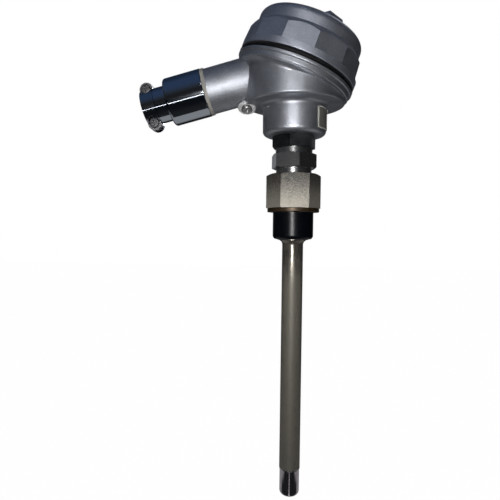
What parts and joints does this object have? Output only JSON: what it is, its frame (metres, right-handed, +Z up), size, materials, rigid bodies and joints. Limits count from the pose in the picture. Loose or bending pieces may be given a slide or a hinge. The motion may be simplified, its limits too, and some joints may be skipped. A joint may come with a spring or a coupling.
{
  "type": "resistance thermometer probe with terminal head",
  "caption": "Threaded thermowell probe with a spring-loaded insert, a die-cast terminal head with a tilted screw cover, and a side cable gland with a clamp.",
  "frame": {"origin": "centre of the sealing face, the underside of the washer, on the stem's axis", "axes": "+Z up along the stem towards the head; the stem hangs down along -Z; -X is the side of the conduit gland; +Y is away from the viewer"},
  "size_m": [0.1677, 0.0904, 0.3705],
  "materials": {
    "stainless": "fine turned stainless steel",
    "dark_steel": "dark polished weld tip",
    "bronze": "dull bronze sealing washer",
    "black_plastic": "glossy black plastic",
    "nipple_steel": "machined steel",
    "black_oxide": "blackened steel",
    "head_paint": "silver-grey paint on die-cast aluminium",
    "cover_paint": "blue-grey paint on die-cast aluminium",
    "plate": "blank etched plate",
    "zinc": "zinc-plated steel",
    "black_rubber": "smooth black rubber",
    "cream_fibre": "cream fibre washer",
    "chrome_plate": "bright nickel-chrome plating",
    "ring_steel": "plain steel ring",
    "sheath_steel": "drawn stainless steel",
    "oxide_powder": "pressed white oxide powder",
    "ceramic": "glazed white ceramic",
    "lead_sleeve": "red insulating sleeve",
    "brass_bar": "nickel-free brass",
    "spring_steel": "spring steel wire"
  },
  "bodies": {
    "head": {"thermowell": "stainless", "well_tip": "dark_steel", "sealing_washer": "bronze", "neck_nipple": "nipple_steel", "neck_locknut": "black_oxide", "head_body": "head_paint", "nameplate": "plate", "earth_screw": "zinc", "earth_washers": "zinc", "inner_earth_screw": "zinc", "gland_washer": "cream_fibre", "gland_body": "chrome_plate", "gland_inner_ring": "ring_steel", "gland_packing": "black_rubber", "spring_screws": "zinc", "insert_springs": "spring_steel"},
    "cover_seal": {"cover_seal": "black_rubber"},
    "cover": {"cover": "cover_paint"},
    "gland_push_ring": {"gland_push_ring": "ring_steel"},
    "gland_nut": {"gland_nut": "chrome_plate"},
    "clamp": {"clamp_saddle": "chrome_plate", "clamp_screws": "zinc"},
    "thread_protector": {"thread_protector": "black_plastic"},
    "insert": {"insert_sheath": "sheath_steel", "sheath_filling": "oxide_powder", "sensing_element": "ceramic", "lead_wires": "lead_sleeve", "insert_flange": "sheath_steel", "terminal_block": "ceramic", "terminal_bars": "brass_bar", "terminal_screws": "zinc", "block_screws": "zinc"}
  },
  "joints": [
    {"name": "cover_rise", "type": "slide", "parent": "head", "child": "cover_seal", "axis": [0.3518, 0, 0.9361], "range_m": [0, 0.036]},
    {"name": "cover_turn", "type": "hinge", "parent": "cover_seal", "child": "cover", "pos_m": [0.0011, 0, 0.1064], "axis": [0.3518, 0, 0.9361], "range_deg": [0, 4320]},
    {"name": "gland_back_out", "type": "slide", "parent": "head", "child": "gland_push_ring", "axis": [-0.9668, 0, -0.2554], "range_m": [0, 0.0075]},
    {"name": "gland_unscrew", "type": "hinge", "parent": "gland_push_ring", "child": "gland_nut", "pos_m": [-0.08827, 0, 0.08618], "axis": [-0.9668, 0, -0.2554], "range_deg": [0, 1800]},
    {"name": "clamp_open", "type": "slide", "parent": "gland_nut", "child": "clamp", "axis": [0, -1, 0], "range_m": [0, 0.003]},
    {"name": "protector_off", "type": "slide", "parent": "head", "child": "thread_protector", "axis": [0, 0, -1], "range_m": [0, 0.225]},
    {"name": "insert_press", "type": "slide", "parent": "head", "child": "insert", "axis": [0, 0, 1], "range_m": [0, 0.005], "stiffness_N_per_m": 800, "springref_m": -0.003, "deforming": ["insert_springs"]}
  ],
  "couplings": [
    {"joint": "cover_rise", "follows": "cover_turn", "m_per_rad": 0.00047746},
    {"joint": "gland_unscrew", "follows": "gland_back_out", "rad_per_m": 4188.8}
  ]
}
